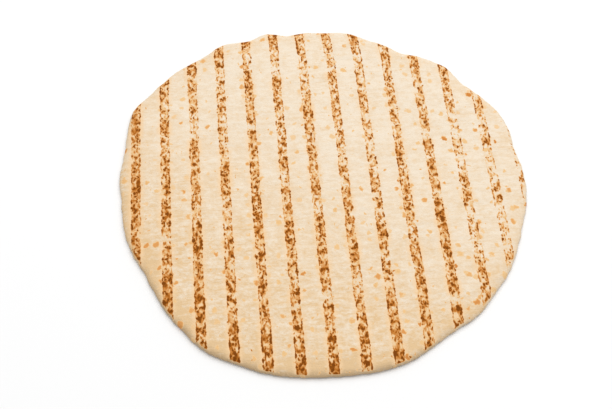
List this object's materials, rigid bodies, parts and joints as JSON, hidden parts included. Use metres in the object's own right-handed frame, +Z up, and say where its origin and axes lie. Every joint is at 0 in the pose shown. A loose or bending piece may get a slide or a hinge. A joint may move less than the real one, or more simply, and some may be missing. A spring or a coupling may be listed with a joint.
{
  "type": "round griddled lavash flatbread",
  "caption": "Thin round soft wheat flatbread with an uneven hand-stretched outline, a rounded rim and parallel toasted griddle stripes pressed into its top.",
  "frame": {"origin": "on the flat resting face, under the middle of the outline's box", "axes": "+Z up through the bread's thickness, +Y along the griddle stripes, +X across them"},
  "size_m": [0.2462, 0.2468, 0.0057],
  "materials": {
    "crust": "matte"
  },
  "bodies": {
    "root": {"flatbread": "crust"}
  },
  "joints": []
}
